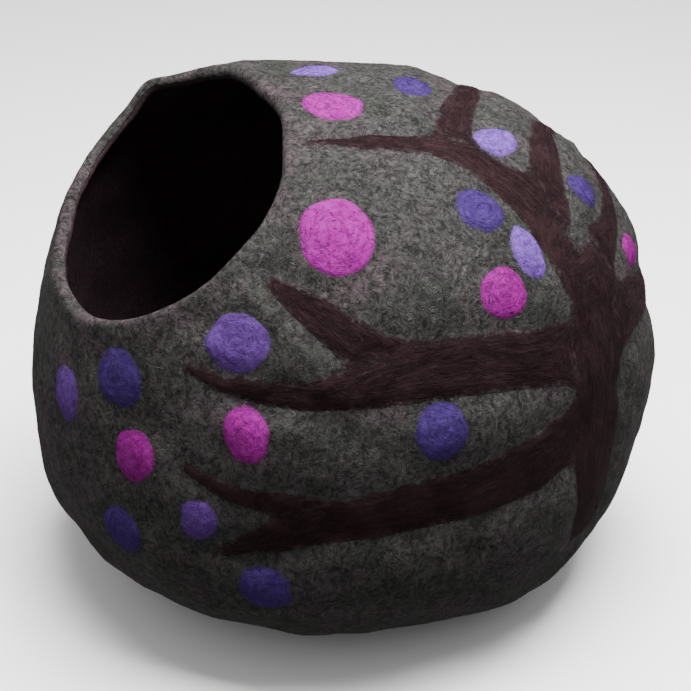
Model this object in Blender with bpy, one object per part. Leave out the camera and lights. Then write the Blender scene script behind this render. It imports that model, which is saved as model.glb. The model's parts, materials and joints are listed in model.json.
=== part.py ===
"""Felt cat cave, wet-felted from wool.

A hollow ball of thick felt, settled flat where it stands, with one round
mouth cut on a slant high on its front.  A felted tree and felted dots lie
on its outside.  Metres, +Z up.  The origin is the middle of the base, and
the mouth looks towards -Y and up.

Places on the ball are given as azimuth and elevation in degrees, seen from
the heart of the ball: azimuth 0 is the mouth's side (-Y), 90 is +X, and
elevation 90 is straight up.
"""
import math

import bmesh
import bpy
import numpy as np

# The ball
HALF_WIDTH = 0.217          # heart to side
HEART_HEIGHT = 0.126        # heart above the floor
CROWN_RISE = 0.220          # heart to crown
BELLY_DROP = 0.138          # heart to where the belly would round out
CROWN_FULLNESS = 2.4        # 2 is an ellipse, more is boxier
BELLY_FULLNESS = 2.3
SIDE_SWELL = 0.020          # three soft corners round the sides
SIDE_SWELL_AZIMUTH = 45
SETTLE = 0.005              # height over which the belly flattens into the base
WALL = 0.008                # thickness of the felt
SEGMENTS = 60               # facets round the mouth's axis
RINGS = 25                  # facets from the mouth to the far side
MM = 0.001
NORMAL_STEP = 0.003         # normals are taken over this much of the ball
NEAR_UPRIGHT = 0.9          # past this, a heading is too steep to be levelled by +Z

# The mouth
MOUTH_ELEVATION = 52        # its axis above level
MOUTH_PLANE = 0.2065        # heart to the plane of the rim
LIP_DIP = 0.009             # the upper lip lies this much nearer the heart
LIP_DIP_TURN = 115          # where the dip is deepest, in degrees round the mouth
LIP_ROUND = 0.0035          # rounding on both edges of the lip
LIP_STEPS = 2
LIP_SHARPEST = 50           # degrees, edges sharper than this are rounded
RIM_LIMITS = (5, 60)        # degrees from the mouth's axis between which its rim lies
RIM_HALVINGS = 30

# Soft bulges (+) and hollows (-) of the ball
LUMPS = (
    # azimuth, elevation, spread in degrees, height in mm
    (-56, 47, 18, 13.0),
    (122, -36, 20, 12.0),
    (142, -14, 18, -7.0),
    (-12, -24, 24, 4.0),
    (-66, 64, 11, 7.0),
    (-140, 62, 30, 3.0),
    (150, 44, 26, 9.0),
    (150, 6, 16, 4.5),
    (106, -26, 12, 4.0),
)

# The tree
LIFT = 0.0013               # under-face of tree and dots above the ball
LIMB_THICK = 0.0018         # thickness along the middle of a limb
LIMB_EDGE = 0.0007          # thickness along its edges
LIMB_ROWS = 10              # facets along a limb
LIMB_COLUMNS = (-1.0, -0.45, 0.45, 1.0)
LIMB_GAP = 0.0006           # between a limb and the one it grows from
LIMB_ROOT = 0.6             # a limb is clear of what it grows from within this share of it
LIMB_STEP = 0.005           # steps in which that share is found
TRACK_STEPS = 8             # points kept along a limb for each of its own
ROUTE_STEPS = 80            # points along the route that a limb is laid on
VALLEY_REACH = 0.022        # the ball rises again this far beside a limb

LIMBS = {
    # name: (grows from, sink in mm, ((azimuth, elevation, width in mm), ...))
    "trunk": ((), 2.5, (
        (118, -14, 30), (117.5, -5, 44), (118, 6, 52), (119, 17, 53), (121, 27, 50), (123, 34, 48),
        (123, 39, 44))),
    "branch_low": (("trunk",), 3.0, (
        (118, 13, 44), (102, 9, 41), (87, 7, 37), (72, 6, 34), (60, 4, 30), (50, 0, 20),
        (43, -3, 8))),
    "twig_low": (("branch_low",), 3.0, (
        (64, 5, 22), (54, 8, 17), (45, 9, 13), (37, 12, 6))),
    "branch_middle": (("trunk",), 3.0, (
        (121, 23, 46), (101, 27, 38), (85, 29, 38), (72, 28, 32), (60, 26, 20), (48, 26, 15),
        (35, 28, 6))),
    "twig_middle": (("branch_middle",), 2.5, (
        (80, 28, 30), (67, 34, 27), (58, 39, 21), (49, 43, 8))),
    "bough_left": (("trunk",), 2.0, (
        (122, 33, 40), (119, 42, 33), (119, 50, 36), (116, 58, 30), (107, 66, 22), (80, 71, 16),
        (47, 71, 7))),
    "bough_crown": (("bough_left",), 2.0, (
        (110, 61, 24), (122, 67, 26), (145, 69, 24), (171, 66, 20), (-168, 59, 13), (-160, 50, 6))),
    "bough_back": (("bough_left",), 2.0, (
        (116, 43, 30), (123, 46, 30), (129, 50, 28), (139, 53, 27), (155, 54, 19), (174, 47, 7))),
    "bough_side": (("trunk",), 2.0, (
        (124, 33, 42), (129, 36, 40), (136, 37, 29), (144, 38, 22), (151, 41, 17), (159, 43, 12),
        (168, 40, 6))),
    "bough_far": (("trunk",), 2.0, (
        (122, 24, 46), (134, 25, 38), (144, 23, 30), (158, 20, 22), (172, 13, 14), (-178, 4, 6))),
}

# The dots
DOT_THICK = 0.0020
DOT_EDGE = 0.0008
DOT_SEGMENTS = 10
DOT_RINGS = (0.55, 1.0)

DOTS = (
    # name, azimuth, elevation, width mm, height mm, turn, colour
    ("dot_large", 63, 50.6, 46, 57, 10, "magenta"),
    ("dot_magenta_1", 98.5, 38.3, 37, 33, 0, "magenta"),
    ("dot_magenta_2", 48, 19, 29, 38, 15, "magenta"),
    ("dot_magenta_3", 27, 11, 35, 36, 0, "magenta"),
    ("dot_magenta_4", 58, 83, 38, 46, 60, "magenta"),
    ("dot_magenta_5", 144, 31, 28, 23, 0, "magenta"),
    ("dot_indigo_1", 81, 19, 34, 38, 0, "indigo"),
    ("dot_indigo_2", 22, 23, 40, 38, 0, "indigo"),
    ("dot_indigo_3", 24, -4, 32, 35, 0, "indigo"),
    ("dot_indigo_4", 51, -9, 36, 33, 0, "indigo"),
    ("dot_indigo_5", 102, 52, 36, 33, 0, "indigo"),
    ("dot_indigo_6", 138.5, 45, 28, 26, 0, "indigo"),
    ("dot_indigo_7", 172, 76, 40, 26, 0, "indigo"),
    ("dot_violet_1", 45, 33, 42, 37, 0, "violet"),
    ("dot_violet_2", 7, 15, 40, 37, 0, "violet"),
    ("dot_violet_3", 40, 3, 26, 29, 0, "violet"),
    ("dot_lavender_1", 108.5, 43, 26, 36, 0, "lavender"),
    ("dot_lavender_2", 131, 61, 34, 29, 0, "lavender"),
    ("dot_lavender_3", -96, 79, 34, 30, 0, "lavender"),
    ("dot_back_1", -40, -10, 34, 36, 0, "magenta"),
    ("dot_back_2", -62, 14, 38, 36, 0, "indigo"),
    ("dot_back_3", -85, 34, 38, 38, 0, "violet"),
    ("dot_back_4", -95, 0, 36, 34, 0, "magenta"),
    ("dot_back_5", -130, 22, 38, 36, 0, "lavender"),
    ("dot_back_6", -145, -12, 32, 34, 0, "indigo"),
    ("dot_back_7", 176, -10, 34, 36, 0, "violet"),
)

COLOURS = {
    # name: (red, green, blue), roughness
    "grey": ((0.115, 0.112, 0.106), 0.95),
    "bark": ((0.028, 0.018, 0.020), 0.95),
    "magenta": ((0.42, 0.05, 0.36), 0.92),
    "indigo": ((0.085, 0.040, 0.270), 0.92),
    "violet": ((0.180, 0.090, 0.420), 0.92),
    "lavender": ((0.330, 0.210, 0.640), 0.92),
}


def directions(azimuth, elevation):
    """Unit directions from the heart, one row each."""
    a = np.radians(np.atleast_1d(azimuth).astype(float))
    e = np.radians(np.atleast_1d(elevation).astype(float))
    return np.stack([np.sin(a) * np.cos(e), -np.cos(a) * np.cos(e), np.sin(e)], axis=-1)


def unit(vectors):
    """The same rows at length one."""
    return vectors / np.linalg.norm(vectors, axis=-1, keepdims=True)


def angle_between(one, other):
    """Angles in radians between rows of directions."""
    return np.arccos(np.clip((one * other).sum(axis=-1), -1.0, 1.0))


def unwound(points):
    """The same rows, with azimuths that run on past 180 without a jump."""
    rows = np.array(points, dtype=float)
    rows[:, 0] = np.degrees(np.unwrap(np.radians(rows[:, 0])))
    return rows


def smooth_route(points, count):
    """Catmull-Rom curve through rows of azimuth, elevation and width."""
    rows = np.asarray(points)
    rows = np.vstack([2 * rows[0] - rows[1], rows, 2 * rows[-1] - rows[-2]])
    spans = len(rows) - 3
    route = []
    for place in np.linspace(0, spans, count):
        span = min(int(place), spans - 1)
        t = place - span
        a, b, c, d = rows[span:span + 4]
        route.append(0.5 * (2 * b + (c - a) * t + (2 * a - 5 * b + 4 * c - d) * t ** 2
                            + (3 * b - a - 3 * c + d) * t ** 3))
    return np.array(route)


def limb_tracks():
    """For each limb, the directions and half-widths along its middle."""
    tracks = {}
    for name, (_, _, points) in LIMBS.items():
        route = smooth_route(unwound(points), TRACK_STEPS * len(points))
        tracks[name] = (directions(route[:, 0], route[:, 1]), route[:, 2] / 2 * MM)
    return tracks


TRACKS = limb_tracks()


def past_edge(heading, names):
    """Distance of each direction past the nearest edge of the named limbs."""
    nearest = np.full(len(heading), 1.0)
    for name in names:
        middle, half = TRACKS[name]
        angles = np.arccos(np.clip(heading @ middle.T, -1.0, 1.0))
        nearest = np.minimum(nearest, (angles * HALF_WIDTH - half).min(axis=1))
    return nearest


def reach(heading):
    """Distance from the heart to the outer face of the felt."""
    around = np.arctan2(heading[:, 0], -heading[:, 1])
    level = np.hypot(heading[:, 0], heading[:, 1])
    rising = heading[:, 2] > 0
    fullness = np.where(rising, CROWN_FULLNESS, BELLY_FULLNESS)
    upright = np.where(rising, CROWN_RISE, BELLY_DROP)
    swell = SIDE_SWELL * np.cos(3 * (around - math.radians(SIDE_SWELL_AZIMUTH)))
    side = HALF_WIDTH * (1 + swell)
    sum_of_powers = (level / side) ** fullness + (np.abs(heading[:, 2]) / upright) ** fullness
    distance = sum_of_powers ** (-1 / fullness)
    for azimuth, elevation, spread, height in LUMPS:
        away = np.degrees(angle_between(heading, directions(azimuth, elevation)))
        distance = distance + height * MM * np.exp(-(away / spread) ** 2)
    return distance - valley(heading)


def valley(heading):
    """How deep the ball sinks under and beside the tree."""
    depth = np.zeros(len(heading))
    for name, (_, sink, _) in LIMBS.items():
        beside = np.maximum(past_edge(heading, (name,)), 0.0)
        depth = np.maximum(depth, sink * MM * np.exp(-(beside / VALLEY_REACH) ** 2))
    return depth


def settled(height):
    """Heights with all below the floor brought up to it, over a soft bend."""
    bend = (height + SETTLE) ** 2 / (4 * SETTLE)
    return np.where(height < -SETTLE, 0.0, np.where(height > SETTLE, height, bend))


def skin(heading):
    """Points of the outer face in the given directions."""
    points = heading * reach(heading)[:, None]
    points[:, 2] = settled(points[:, 2] + HEART_HEIGHT)
    return points


def skin_normal(heading):
    """Outward normals of the outer face, from points a small step apart."""
    step = NORMAL_STEP / HALF_WIDTH
    pole = np.where(np.abs(heading[:, 2:]) > NEAR_UPRIGHT, [[1.0, 0.0, 0.0]], [[0.0, 0.0, 1.0]])
    east = unit(np.cross(pole, heading))
    north = np.cross(heading, east)
    along = skin(unit(heading + step * east)) - skin(unit(heading - step * east))
    up = skin(unit(heading + step * north)) - skin(unit(heading - step * north))
    return unit(np.cross(along, up))


def raised(points, offset):
    """Points near the ball, brought onto its outer face and raised by offset."""
    heading = unit(points - [0.0, 0.0, HEART_HEIGHT])
    return skin(heading) + skin_normal(heading) * np.reshape(offset, (-1, 1))


def wool(name):
    """Material of one colour of felted wool."""
    material = bpy.data.materials.get(name)
    if material is None:
        colour, roughness = COLOURS[name]
        material = bpy.data.materials.new(name)
        material.use_nodes = True
        shader = material.node_tree.nodes["Principled BSDF"]
        shader.inputs["Base Color"].default_value = (*colour, 1.0)
        shader.inputs["Roughness"].default_value = roughness
        shader.inputs["Metallic"].default_value = 0.0
        material.diffuse_color = (*colour, 1.0)
    return material


def add_object(name, mesh, colour):
    """Finish a bmesh as a named object of one colour."""
    bmesh.ops.recalc_face_normals(mesh, faces=mesh.faces)
    data = bpy.data.meshes.new(name)
    mesh.to_mesh(data)
    mesh.free()
    data.materials.append(wool(colour))
    data.shade_smooth()
    thing = bpy.data.objects.new(name, data)
    bpy.context.scene.collection.objects.link(thing)
    return thing


def mouth_axes():
    """The mouth's axis and the two directions across it."""
    axis = directions(0, MOUTH_ELEVATION)[0]
    side = np.array([1.0, 0.0, 0.0])
    return axis, side, np.cross(axis, side)


def rim_angle(around):
    """Angle between the mouth's axis and the rim, at an angle around the axis."""
    axis, side, rise = mouth_axes()
    dip = max(0.0, math.cos(around - math.radians(LIP_DIP_TURN))) ** 2
    plane = MOUTH_PLANE - LIP_DIP * dip
    inner, outer = (math.radians(limit) for limit in RIM_LIMITS)
    for _ in range(RIM_HALVINGS):
        middle = (inner + outer) / 2
        heading = (math.cos(middle) * axis
                   + math.sin(middle) * (math.cos(around) * side + math.sin(around) * rise))
        if reach(heading[None])[0] * math.cos(middle) > plane:
            inner = middle
        else:
            outer = middle
    return inner


def make_body():
    """The ball, open at its mouth, with its wall turned inwards."""
    mesh = bmesh.new()
    bmesh.ops.create_uvsphere(mesh, u_segments=SEGMENTS, v_segments=RINGS, radius=1.0)
    crown = max(mesh.verts, key=lambda vert: vert.co.z)
    bmesh.ops.delete(mesh, geom=[crown], context="VERTS")
    axis, side, rise = mouth_axes()
    first = math.pi / RINGS
    rims = {}
    headings = []
    for vert in mesh.verts:
        tilt = math.acos(max(-1.0, min(1.0, vert.co.z)))
        around = math.atan2(vert.co.y, vert.co.x)
        key = round(around, 4)
        if key not in rims:
            rims[key] = rim_angle(around)
        share = (tilt - first) / (math.pi - first)
        turned = rims[key] + (math.pi - rims[key]) * share
        headings.append(math.cos(turned) * axis
                        + math.sin(turned) * (math.cos(around) * side + math.sin(around) * rise))
    for vert, place in zip(mesh.verts, skin(np.array(headings))):
        vert.co = place
    body = add_object("felt_body", mesh, "grey")
    wall = body.modifiers.new("Wall", "SOLIDIFY")
    wall.thickness = WALL
    wall.offset = -1.0
    wall.use_even_offset = True
    wall.use_quality_normals = True
    lip = body.modifiers.new("Lip", "BEVEL")
    lip.width = LIP_ROUND
    lip.segments = LIP_STEPS
    lip.limit_method = "ANGLE"
    lip.angle_limit = math.radians(LIP_SHARPEST)
    return body


def strip(mesh, rows, top, under):
    """Close a strip of felt between its rows of top and under vertices."""
    columns = len(top[0])
    for near, far in zip(range(rows - 1), range(1, rows)):
        for left, right in zip(range(columns - 1), range(1, columns)):
            mesh.faces.new((top[near][left], top[near][right], top[far][right], top[far][left]))
            mesh.faces.new((under[near][left], under[far][left],
                            under[far][right], under[near][right]))
        for edge in (0, columns - 1):
            mesh.faces.new((top[near][edge], top[far][edge], under[far][edge], under[near][edge]))
    for end in (0, rows - 1):
        for left, right in zip(range(columns - 1), range(1, columns)):
            mesh.faces.new((top[end][left], top[end][right], under[end][right], under[end][left]))


def smooth_at(route, place):
    """Row of azimuth, elevation and width at a place from 0 to 1 along a fine route."""
    steps = np.linspace(0, 1, len(route))
    return np.array([np.interp(place, steps, route[:, k]) for k in range(3)])


def limb_point(route, place, column):
    """A point across a limb: place runs 0 to 1 along it, column -1 to 1 over it."""
    rows = np.array([smooth_at(route, place + step) for step in (-0.01, 0.0, 0.01)])
    points = skin(directions(rows[:, 0], rows[:, 1]))
    forward = unit(points[2] - points[0])
    normal = skin_normal(directions(rows[1, 0], rows[1, 1]))[0]
    across = np.cross(forward, normal)
    return points[1] + across * column * rows[1, 2] / 2 * MM


def first_clear(route, column, parents):
    """How far along a limb one of its columns comes clear of what it grows from."""
    if not parents:
        return 0.0
    for place in np.arange(0, LIMB_ROOT, LIMB_STEP):
        heading = unit(limb_point(route, place, column) - [0, 0, HEART_HEIGHT])[None]
        if past_edge(heading, parents)[0] > LIMB_GAP:
            return place
    raise ValueError("a limb never leaves what it grows from")


def make_limb(name):
    """One limb of the tree, a thin domed strip that follows the ball."""
    parents, _, points = LIMBS[name]
    route = smooth_route(unwound(points), ROUTE_STEPS)
    mesh = bmesh.new()
    top = [[] for _ in range(LIMB_ROWS)]
    under = [[] for _ in range(LIMB_ROWS)]
    for column in LIMB_COLUMNS:
        start = first_clear(route, column, parents)
        thick = LIMB_EDGE + (LIMB_THICK - LIMB_EDGE) * (1 - column ** 2)
        places = start + (1 - start) * np.linspace(0, 1, LIMB_ROWS)
        points_across = np.array([limb_point(route, place, column) for place in places])
        for row, point in enumerate(raised(points_across, LIFT + thick)):
            top[row].append(mesh.verts.new(point))
        for row, point in enumerate(raised(points_across, LIFT)):
            under[row].append(mesh.verts.new(point))
    strip(mesh, LIMB_ROWS, top, under)
    return add_object(name, mesh, "bark")


def dot_ring(place, east, north, width, height, turn, share):
    """Points of an oval ring round a dot's middle, before they meet the ball."""
    around = np.linspace(0, 2 * math.pi, DOT_SEGMENTS, endpoint=False)
    x = np.cos(around) * width / 2 * share
    y = np.sin(around) * height / 2 * share
    c, s = math.cos(math.radians(turn)), math.sin(math.radians(turn))
    return place + np.outer(x * c - y * s, east) + np.outer(x * s + y * c, north)


def make_dot(name, azimuth, elevation, width, height, turn, colour):
    """One felted dot, a thin domed oval that follows the ball."""
    heading = directions(azimuth, elevation)
    place = skin(heading)[0]
    normal = skin_normal(heading)[0]
    east = unit(np.cross([0.0, 0.0, 1.0], normal))
    north = np.cross(normal, east)
    mesh = bmesh.new()
    faces = {}
    for side in ("top", "under"):
        thick = DOT_THICK if side == "top" else 0.0
        centre = mesh.verts.new(raised(place[None], LIFT + thick)[0])
        rings = []
        for share in DOT_RINGS:
            domed = DOT_EDGE + (DOT_THICK - DOT_EDGE) * (1 - share ** 2)
            points = dot_ring(place, east, north, width * MM, height * MM, turn, share)
            offset = LIFT + (domed if side == "top" else 0.0)
            rings.append([mesh.verts.new(p) for p in raised(points, offset)])
        faces[side] = rings
        for k in range(DOT_SEGMENTS):
            after = (k + 1) % DOT_SEGMENTS
            mesh.faces.new((centre, rings[0][k], rings[0][after]))
            mesh.faces.new((rings[0][k], rings[1][k], rings[1][after], rings[0][after]))
    for k in range(DOT_SEGMENTS):
        after = (k + 1) % DOT_SEGMENTS
        mesh.faces.new((faces["top"][-1][k], faces["under"][-1][k],
                        faces["under"][-1][after], faces["top"][-1][after]))
    return add_object(name, mesh, colour)


def main():
    for thing in list(bpy.data.objects):
        bpy.data.objects.remove(thing)
    make_body()
    for name in LIMBS:
        make_limb(name)
    for dot in DOTS:
        make_dot(*dot)


main()
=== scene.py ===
"""Felt cat cave: the wool, the tree, the dots, their fibres and the stage."""
import json
import math
from contextlib import contextmanager

import bpy
import numpy as np
from bpy.props import FloatProperty, FloatVectorProperty, IntProperty, PointerProperty
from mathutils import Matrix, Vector, noise
from mathutils.bvhtree import BVHTree
from mathutils.kdtree import KDTree


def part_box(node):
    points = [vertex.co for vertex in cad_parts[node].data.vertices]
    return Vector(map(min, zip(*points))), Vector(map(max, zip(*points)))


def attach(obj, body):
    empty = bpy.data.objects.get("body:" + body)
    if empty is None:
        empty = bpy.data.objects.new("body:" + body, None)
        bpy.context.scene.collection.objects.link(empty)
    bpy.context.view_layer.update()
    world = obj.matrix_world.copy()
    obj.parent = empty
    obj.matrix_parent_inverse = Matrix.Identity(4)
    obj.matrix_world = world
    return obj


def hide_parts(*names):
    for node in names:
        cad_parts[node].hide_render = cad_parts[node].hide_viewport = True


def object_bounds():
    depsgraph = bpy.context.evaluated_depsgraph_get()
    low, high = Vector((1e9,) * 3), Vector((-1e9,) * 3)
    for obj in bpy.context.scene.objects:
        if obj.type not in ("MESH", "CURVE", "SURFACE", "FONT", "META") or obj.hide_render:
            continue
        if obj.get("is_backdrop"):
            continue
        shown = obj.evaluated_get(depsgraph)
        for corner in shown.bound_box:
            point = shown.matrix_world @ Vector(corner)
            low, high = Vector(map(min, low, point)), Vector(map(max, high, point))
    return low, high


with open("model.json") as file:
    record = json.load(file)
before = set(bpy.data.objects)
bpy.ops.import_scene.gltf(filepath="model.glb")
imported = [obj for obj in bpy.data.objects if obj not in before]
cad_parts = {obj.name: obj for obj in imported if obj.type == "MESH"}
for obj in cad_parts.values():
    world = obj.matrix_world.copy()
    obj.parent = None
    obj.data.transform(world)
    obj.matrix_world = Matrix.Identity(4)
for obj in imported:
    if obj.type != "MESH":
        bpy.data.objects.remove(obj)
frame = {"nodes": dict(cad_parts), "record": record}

bl_info = {
    "name": "Felt cat cave",
    "version": (1, 0, 0),
    "blender": (4, 5, 0),
    "location": "3D View > Sidebar > Cave",
    "description": "Felts a cat cave with a tree and dots on its outside",
    "category": "Add Mesh",
}

CAD_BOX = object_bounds()
MM = 0.001

BODY_NODE = "felt_body"
SLOTS = {part["node"]: part["material_slot"] for part in frame["record"]["subparts"]}
LIMB_NODES = sorted(node for node, slot in SLOTS.items() if slot == "bark_wool")
DOT_NODES = sorted(node for node in SLOTS if node.startswith("dot_"))
HEART = np.array([0.0, 0.0, 0.36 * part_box(BODY_NODE)[1].z])   # places are seen from here


# ---------------------------------------------------------------- the user's values

def metres(name, description, default):
    """A length that a user may change."""
    return FloatProperty(name=name, description=description, default=default,
                         unit="LENGTH", subtype="DISTANCE", precision=4)


def colour(name, description, default):
    """A wool colour that a user may change."""
    return FloatVectorProperty(name=name, description=description, default=default,
                               subtype="COLOR", size=3, min=0.0, max=1.0)


class CaveShape(bpy.types.PropertyGroup):
    """Sizes of the felt's own relief."""
    fullness: metres("Fullness", "How far the ball is let out again after smoothing", 2.6 * MM)
    unevenness: metres("Unevenness", "Height of the soft lumps all over the felt", 2.5 * MM)
    puckering: metres("Puckering", "Height of the small puckers of the felt", 0.55 * MM)
    valley: metres("Valley", "How deep the ball sinks beside the tree", 3.0 * MM)
    groove: metres("Groove", "How deep the ball sinks round a dot", 0.5 * MM)
    lip: metres("Lip", "How far the lip of the mouth swells", 2.4 * MM)
    tree_height: metres("Tree height", "How far the tree stands up from the ball", 1.4 * MM)
    tree_shoulder: metres("Tree shoulder", "Width over which the tree rises", 5.0 * MM)
    tree_ropes: metres("Tree ropes", "Height of the ropes of wool along the limbs", 0.55 * MM)
    dot_height: metres("Dot height", "How far a dot stands up from the ball", 1.6 * MM)
    dot_shoulder: metres("Dot shoulder", "Width over which a dot rises", 6.0 * MM)
    dot_dimples: metres("Dot dimples", "Depth of the needle's dimples in a dot", 0.35 * MM)


class CaveColours(bpy.types.PropertyGroup):
    """Colours of the wool."""
    charcoal: colour("Charcoal", "Dark hairs of the grey wool", (0.0105, 0.0102, 0.0098))
    grey: colour("Grey", "Main colour of the grey wool", (0.044, 0.0425, 0.0412))
    silver: colour("Silver", "Light hairs of the grey wool", (0.118, 0.114, 0.108))
    mauve: colour("Mauve", "Warm clouds in the grey wool", (0.063, 0.044, 0.051))
    moss: colour("Moss", "Cool clouds in the grey wool", (0.029, 0.032, 0.028))
    aubergine: colour("Aubergine", "Wool of the inside", (0.036, 0.021, 0.025))
    bark: colour("Bark", "Dark wool of the tree", (0.0095, 0.0048, 0.0055))
    bark_light: colour("Bark streak", "Lighter hairs of the tree", (0.026, 0.0130, 0.0150))
    magenta: colour("Magenta", "Magenta dots", (0.195, 0.007, 0.160))
    indigo: colour("Indigo", "Indigo dots", (0.038, 0.018, 0.102))
    violet: colour("Violet", "Violet dots", (0.078, 0.031, 0.162))
    lavender: colour("Lavender", "Lavender dots", (0.125, 0.055, 0.285))


class CaveFibres(bpy.types.PropertyGroup):
    """Loose hairs that lie on the felt."""
    grey_count: IntProperty(name="Grey hairs", description="Number on the ball",
                            default=15500, min=0)
    tree_count: IntProperty(name="Tree hairs", description="Number on the tree",
                            default=9500, min=0)
    dot_count: IntProperty(name="Dot hairs", description="Number on each dot",
                           default=420, min=0)
    length: metres("Length", "Length of a middling hair", 5.5 * MM)
    thickness: metres("Thickness", "Thickness of a middling hair", 0.16 * MM)


class CaveStage(bpy.types.PropertyGroup):
    """Camera, light and floor."""
    azimuth: FloatProperty(name="Azimuth", description="Side from which the camera looks",
                           default=math.radians(63), subtype="ANGLE", unit="ROTATION")
    elevation: FloatProperty(name="Elevation", description="Height of the camera over level",
                             default=math.radians(27), subtype="ANGLE", unit="ROTATION")
    distance: metres("Distance", "From the camera to the cave", 1.35)
    lens: FloatProperty(name="Lens", description="Focal length in millimetres", default=98.2)
    shift: FloatVectorProperty(name="Shift", description="Shift of the view, right and up",
                               size=2, default=(0.0132, 0.0297))
    key_power: FloatProperty(name="Key", description="Power of the soft light overhead",
                             default=120.0, unit="POWER")
    fill_power: FloatProperty(name="Fill", description="Power of the weak light in front",
                              default=2.0, unit="POWER")
    sky: FloatProperty(name="Sky", description="Strength of the pale surroundings", default=0.90)
    floor: colour("Floor", "Pale floor", (0.93, 0.93, 0.93))


# ---------------------------------------------------------------- shader recipes

class Wire:
    """A socket that does sums, each of which adds its Math node."""

    def __init__(self, recipe, socket):
        self.recipe = recipe
        self.socket = socket

    def sum(self, operation, *values):
        return self.recipe.add("ShaderNodeMath", {"operation": operation}, values)

    def __add__(self, other):
        return self.sum("ADD", self, other)

    def __radd__(self, other):
        return self.sum("ADD", other, self)

    def __sub__(self, other):
        return self.sum("SUBTRACT", self, other)

    def __rsub__(self, other):
        return self.sum("SUBTRACT", other, self)

    def __mul__(self, other):
        return self.sum("MULTIPLY", self, other)

    def __rmul__(self, other):
        return self.sum("MULTIPLY", other, self)

    def __abs__(self):
        return self.sum("ABSOLUTE", self)


class Recipe:
    """A material being put together."""

    def __init__(self, name):
        self.material = bpy.data.materials.new(name)
        self.material.use_nodes = True
        self.tree = self.material.node_tree
        self.shader = self.tree.nodes["Principled BSDF"]

    def add(self, kind, settings=None, sockets=(), out=0):
        """One node: its type, its settings, and its sockets by name or in order."""
        node = self.tree.nodes.new(kind)
        for key, value in (settings or {}).items():
            setattr(node, key, value)
        pairs = sockets.items() if isinstance(sockets, dict) else enumerate(sockets)
        for key, value in pairs:
            self.feed(node.inputs[key], value)
        return Wire(self, node.outputs[out])

    def feed(self, socket, value):
        """Link a wire to a socket, or set the socket's value."""
        if isinstance(value, Wire):
            self.tree.links.new(value.socket, socket)
        elif socket.type == "RGBA":
            socket.default_value = (*value[:3], 1.0)
        else:
            socket.default_value = value

    def place(self):
        """Object coordinates."""
        return self.add("ShaderNodeTexCoord", out="Object")

    def value(self, name):
        """A value that the mesh holds."""
        return self.add("ShaderNodeAttribute", {"attribute_name": name}, out="Fac")

    def stretched(self, vector, by):
        """A vector times a number."""
        return self.add("ShaderNodeVectorMath", {"operation": "SCALE"}, {0: vector, "Scale": by})

    def moved(self, vector, by):
        """A vector plus another."""
        return self.add("ShaderNodeVectorMath", {"operation": "ADD"}, (vector, by))

    def grain(self, vector, scale, detail=2.0, roughness=0.5, distortion=0.0, depth=None):
        """Noise. With a depth, it also changes with that value, at the same scale."""
        sockets = {"Vector": vector, "Scale": scale, "Detail": detail,
                   "Roughness": roughness, "Distortion": distortion}
        if depth is None:
            return self.add("ShaderNodeTexNoise", {"noise_dimensions": "3D"}, sockets)
        sockets["W"] = depth
        return self.add("ShaderNodeTexNoise", {"noise_dimensions": "4D"}, sockets)

    def wander(self, vector, scale, by):
        """The vector, pushed about by noise."""
        push = self.add("ShaderNodeTexNoise", {}, {"Vector": vector, "Scale": scale}, out="Color")
        centred = self.add("ShaderNodeVectorMath", {"operation": "SUBTRACT"},
                           (push, (0.5, 0.5, 0.5)))
        return self.moved(vector, self.stretched(centred, by))

    def ease(self, value, low, high):
        """0 at low, 1 at high, with a soft rise between."""
        return self.add("ShaderNodeMapRange", {"interpolation_type": "SMOOTHSTEP"},
                        {"Value": value, "From Min": low, "From Max": high})

    def mix(self, share, one, other):
        """From one colour to the other."""
        return self.add("ShaderNodeMix", {"data_type": "RGBA"}, {0: share, 6: one, 7: other},
                        out=2)

    def thread(self, vector, scale, width):
        """Thin wandering hairs: where a noise crosses its middle."""
        level = self.grain(vector, scale, detail=1.5, distortion=1.2)
        return self.ease(abs(level - 0.5), width, 0.0)

    def dull(self, roughness, specular):
        """How little the shader shines."""
        self.shader.inputs["Roughness"].default_value = roughness
        self.shader.inputs["Specular IOR Level"].default_value = specular

    def finish(self, base, bump, depth, strength):
        """Set up the shader as matt wool."""
        self.feed(self.shader.inputs["Base Color"], base)
        height = self.add("ShaderNodeBump", {}, {"Strength": strength, "Distance": depth,
                                                 "Height": bump})
        self.feed(self.shader.inputs["Normal"], height)
        self.dull(0.95, 0.03)
        return self.material


def tinted(shade, times, plus=0.0):
    """A colour made lighter or darker."""
    return tuple(min(1.0, part * times + plus) for part in shade)


COMB_TURN = tuple(math.radians(turn) for turn in (35, 20, -30))   # which way streaks run
COMB_STRETCH = (1.0, 1.0, 0.16)                                   # and how long they are


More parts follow.
